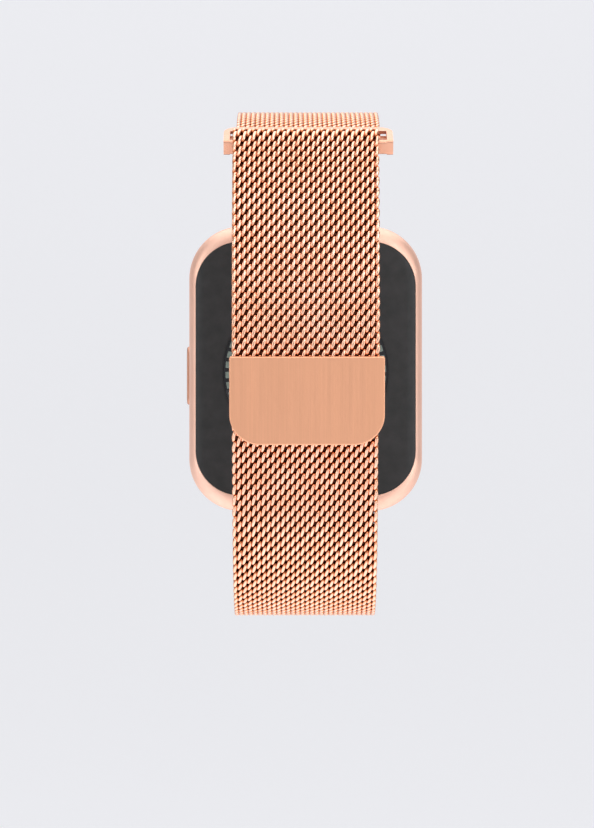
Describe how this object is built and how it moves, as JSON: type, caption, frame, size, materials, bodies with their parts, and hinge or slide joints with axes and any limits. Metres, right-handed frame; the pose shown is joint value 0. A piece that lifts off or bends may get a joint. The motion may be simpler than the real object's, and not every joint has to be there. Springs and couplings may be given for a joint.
{
  "type": "smartwatch",
  "caption": "Rectangular smartwatch with a woven metal loop band closed through a ring by a magnetic clasp, side button and domed rear sensor.",
  "frame": {"origin": "middle of the wrist opening, level with the middle of the case", "axes": "+X across the band, +Y out through the display, +Z towards the twelve o'clock end"},
  "size_m": [0.0354, 0.0623, 0.0721],
  "materials": {
    "case_metal": "satin rose gold anodising",
    "band_mesh": "woven wire with a rose gold coat",
    "band_fittings": "satin rose gold coat",
    "clasp_metal": "brushed rose gold coat",
    "back_panel": "satin charcoal",
    "sensor_window": "dark polished dome",
    "cover_glass": "polished, black behind",
    "display": "gloss",
    "seal": "matte",
    "clear_package": "gloss",
    "chip": "matte",
    "board": "solder mask",
    "copper": "enamelled wire",
    "ferrite": "matte",
    "magnet": "nickel plate",
    "battery_foil": "foil pouch",
    "steel": "satin",
    "flex": "polyimide",
    "rotor_weight": "sintered"
  },
  "bodies": {
    "case": {"case_frame": "case_metal", "back_cover": "back_panel", "back_gasket": "seal", "sensor_window": "sensor_window", "display_gasket": "seal", "display_panel": "display", "cover_glass": "cover_glass", "sensor_leds": "clear_package", "sensor_photodiodes": "chip", "sensor_board": "board", "charging_coil": "copper", "ferrite_shield": "ferrite", "alignment_magnet": "magnet", "battery": "battery_foil", "main_board": "board", "board_chips": "chip", "shield_can": "steel", "inner_chassis": "steel", "chassis_screws": "steel", "display_flex": "flex", "vibration_motor_shell": "steel", "vibration_motor_shaft": "steel", "button_gasket": "seal", "switch_dome": "steel", "tact_switch": "chip", "button_bracket": "steel", "upper_bar_sleeve": "steel", "upper_bar_fixed_pin": "steel", "upper_bar_spring": "steel", "lower_bar_sleeve": "steel", "lower_bar_fixed_pin": "steel", "lower_bar_spring": "steel"},
    "motor_rotor": {"vibration_motor_rotor": "rotor_weight"},
    "button": {"side_button": "case_metal", "button_clip": "steel"},
    "upper_pin": {"upper_release_pin": "steel"},
    "lower_pin": {"lower_release_pin": "steel"},
    "short_band": {"upper_strap_tube": "band_fittings", "short_mesh": "band_mesh", "ring_end_tube": "band_fittings"},
    "ring": {"buckle_ring": "band_fittings", "ring_hinge_pin": "band_fittings"},
    "long_band": {"lower_strap_tube": "band_fittings", "long_mesh": "band_mesh", "strap_fold": "band_mesh"},
    "tail": {"tail_mesh": "band_mesh", "clasp_plate": "clasp_metal", "clasp_body": "clasp_metal", "clasp_magnets": "magnet", "clasp_inner_cover": "clasp_metal"}
  },
  "joints": [
    {"name": "lower_band_hinge", "type": "hinge", "parent": "case", "child": "long_band", "pos_m": [0, 0.0286, -0.0196], "axis": [1, 0, 0], "range_deg": [-1, 0.6], "deforming": ["strap_fold"]},
    {"name": "upper_band_hinge", "type": "hinge", "parent": "case", "child": "short_band", "pos_m": [0, 0.0286, 0.0196], "axis": [1, 0, 0], "range_deg": [-2.5, 1.5]},
    {"name": "ring_hinge", "type": "hinge", "parent": "short_band", "child": "ring", "pos_m": [0, -0.01464, 0.03105], "axis": [1, 0, 0], "range_deg": [-10, 16]},
    {"name": "tail_hinge", "type": "hinge", "parent": "long_band", "child": "tail", "pos_m": [0, -0.0186, 0.02962], "axis": [-1, 0, 0], "range_deg": [0, 100], "deforming": ["strap_fold"]},
    {"name": "side_button_press", "type": "slide", "parent": "case", "child": "button", "axis": [1, 0, 0], "range_m": [0, 0.00035], "stiffness_N_per_m": 2000, "springref_m": -0.0005, "deforming": ["switch_dome"]},
    {"name": "upper_release_pin_slide", "type": "slide", "parent": "case", "child": "upper_pin", "axis": [1, 0, 0], "range_m": [0, 0.0014], "stiffness_N_per_m": 300, "springref_m": -0.004, "deforming": ["upper_bar_spring"]},
    {"name": "lower_release_pin_slide", "type": "slide", "parent": "case", "child": "lower_pin", "axis": [1, 0, 0], "range_m": [0, 0.0014], "stiffness_N_per_m": 300, "springref_m": -0.004, "deforming": ["lower_bar_spring"]},
    {"name": "motor_spin", "type": "hinge", "parent": "case", "child": "motor_rotor", "pos_m": [-0.0112, 0.02925, -0.0116], "axis": [0, 1, 0], "continuous": true}
  ],
  "couplings": [
    {"joint": "upper_band_hinge", "follows": "lower_band_hinge", "ratio": 2.3207},
    {"joint": "ring_hinge", "follows": "lower_band_hinge", "ratio": -15.725}
  ]
}
